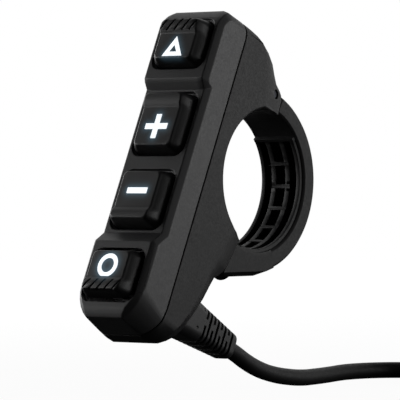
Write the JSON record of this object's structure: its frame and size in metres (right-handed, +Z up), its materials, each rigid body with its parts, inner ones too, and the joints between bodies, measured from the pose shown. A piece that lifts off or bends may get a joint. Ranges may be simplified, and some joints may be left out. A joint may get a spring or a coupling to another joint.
{
  "type": "handlebar remote controller",
  "caption": "Slim upright push-button pod with lit symbols that closes round a handlebar with a hinged, screwed strap and ends in a short plug lead.",
  "frame": {"origin": "centre of the handlebar bore", "axes": "+X along the handlebar, +Z up, and the buttons face -Y and lean back about 25 degrees"},
  "size_m": [0.0325, 0.1097, 0.0606],
  "materials": {
    "shell_black": "fine satin texture",
    "shell_rear": "fine satin texture",
    "strap_black": "satin",
    "button_rubber": "satin, slightly polished faces",
    "symbol_light": "lit white inlay",
    "steel": "plain",
    "black_steel": "black oxide",
    "brass": "plain",
    "silicone": "matte",
    "seal": "matte",
    "board_green": "solder mask",
    "component_dark": "moulded",
    "component_light": "moulded",
    "switch_steel": "plain",
    "capacitor_tan": "ceramic",
    "lead_red": "insulation",
    "cable_black": "satin jacket",
    "boot_black": "matte",
    "tie_black": "matte",
    "plug_black": "matte",
    "plug_blue": "moulded",
    "gold": "plated"
  },
  "bodies": {
    "pod": {"front_shell": "shell_black", "rear_shell": "shell_rear", "seam_gasket": "seal", "housing_screw": "steel", "hinge_pin": "steel", "thread_insert": "brass", "rubber_sheet": "silicone", "circuit_board": "board_green", "switch_triangle": "switch_steel", "switch_plus": "switch_steel", "switch_minus": "switch_steel", "switch_circle": "switch_steel", "led_triangle": "component_light", "led_plus": "component_light", "led_minus": "component_light", "led_circle": "component_light", "control_chip": "component_dark", "capacitors": "capacitor_tan", "lead_header": "component_light", "lead_wires": "lead_red", "cable_boot": "boot_black", "cable_end": "cable_black", "cable": "cable_black", "cable_coil": "cable_black", "cable_tail": "cable_black", "coil_tie": "tie_black", "plug_body": "plug_black", "plug_barrel": "plug_blue", "plug_pins": "gold"},
    "key_triangle": {"button_triangle": "button_rubber", "symbol_triangle": "symbol_light"},
    "key_plus": {"button_plus": "button_rubber", "symbol_plus": "symbol_light"},
    "key_minus": {"button_minus": "button_rubber", "symbol_minus": "symbol_light"},
    "key_circle": {"button_circle": "button_rubber", "symbol_circle": "symbol_light"},
    "strap": {"clamp_strap": "strap_black"},
    "strap_screw": {"screw_head": "black_steel", "screw_shank": "black_steel"}
  },
  "joints": [
    {"name": "triangle_press", "type": "slide", "parent": "pod", "child": "key_triangle", "axis": [0, 0.9089, -0.4171], "range_m": [0, 0.0005], "stiffness_N_per_m": 2500, "springref_m": -0.0002},
    {"name": "plus_press", "type": "slide", "parent": "pod", "child": "key_plus", "axis": [0, 0.9089, -0.4171], "range_m": [0, 0.0005], "stiffness_N_per_m": 2500, "springref_m": -0.0002},
    {"name": "minus_press", "type": "slide", "parent": "pod", "child": "key_minus", "axis": [0, 0.9089, -0.4171], "range_m": [0, 0.0005], "stiffness_N_per_m": 2500, "springref_m": -0.0002},
    {"name": "circle_press", "type": "slide", "parent": "pod", "child": "key_circle", "axis": [0, 0.9089, -0.4171], "range_m": [0, 0.0005], "stiffness_N_per_m": 2500, "springref_m": -0.0002},
    {"name": "strap_hinge", "type": "hinge", "parent": "pod", "child": "strap", "pos_m": [0, 0.00301, 0.01364], "axis": [1, 0, 0], "range_deg": [0, 75]},
    {"name": "screw_withdraw", "type": "slide", "parent": "strap", "child": "strap_screw", "axis": [0, 0.896, -0.444], "range_m": [0, 0.008]}
  ]
}
